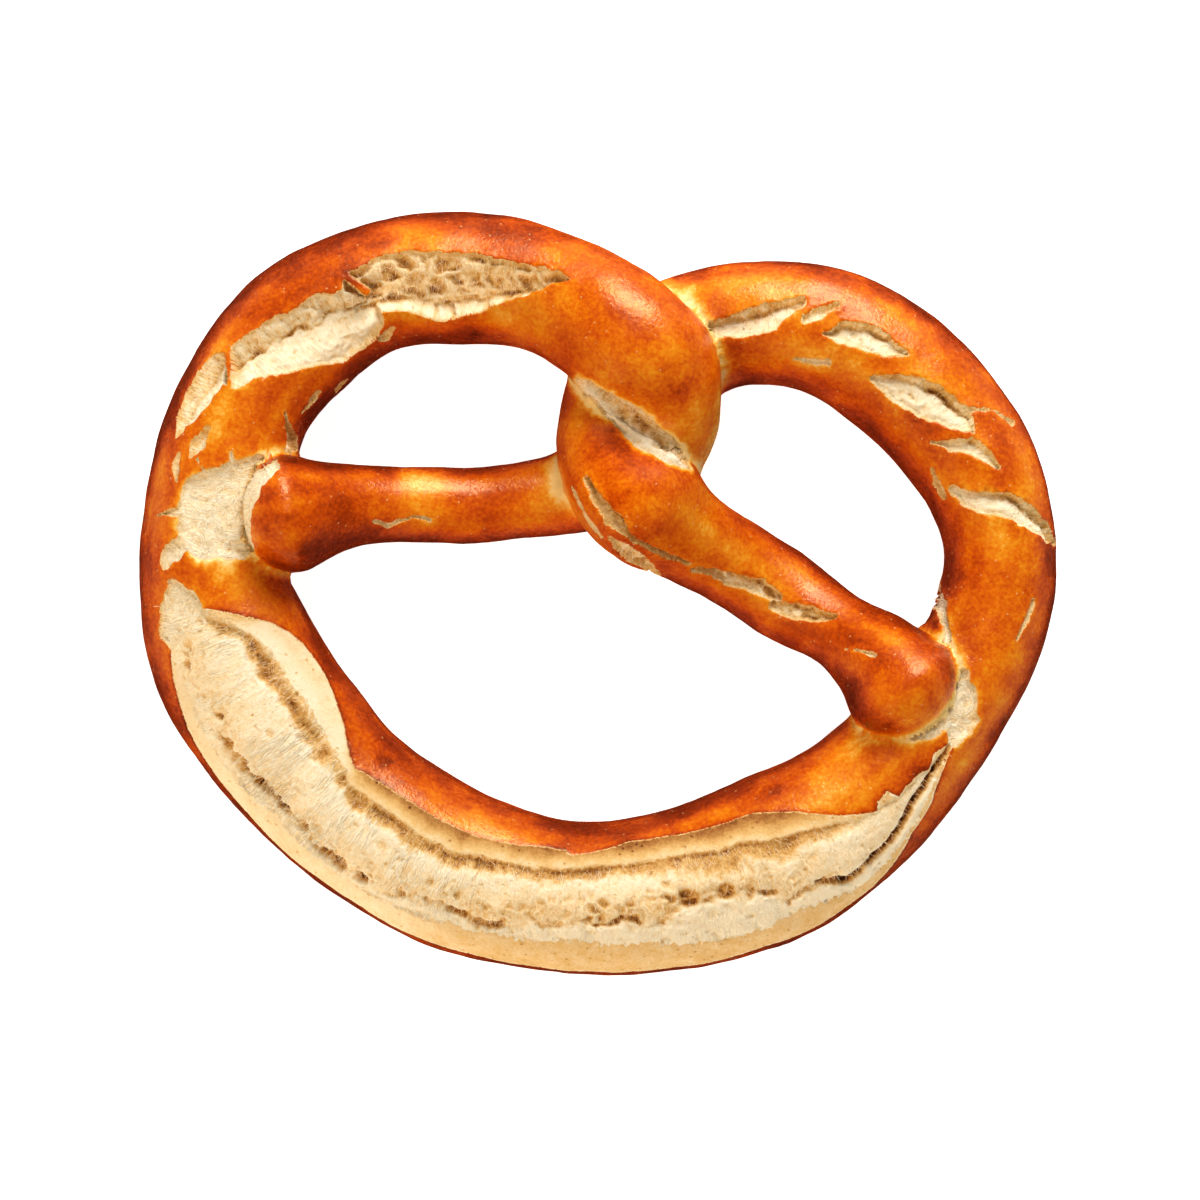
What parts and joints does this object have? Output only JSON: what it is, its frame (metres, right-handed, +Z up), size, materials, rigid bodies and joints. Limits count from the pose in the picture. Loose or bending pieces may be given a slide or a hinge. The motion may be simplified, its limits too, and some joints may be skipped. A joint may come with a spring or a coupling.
{
  "type": "soft pretzel",
  "caption": "Soft pretzel: a browned rope of bread tied in the usual loop and twist, with a wide pale split along its belly and smaller tears in its crust.",
  "frame": {"origin": "middle of the flat baked base, at the bottom centre of the bounding box", "axes": "+X across the two upper loops, +Y from the belly towards the twist, +Z up"},
  "size_m": [0.16, 0.1339, 0.0315],
  "materials": {
    "crust": "satin browned bread crust"
  },
  "bodies": {
    "root": {"pretzel": "crust"}
  },
  "joints": []
}
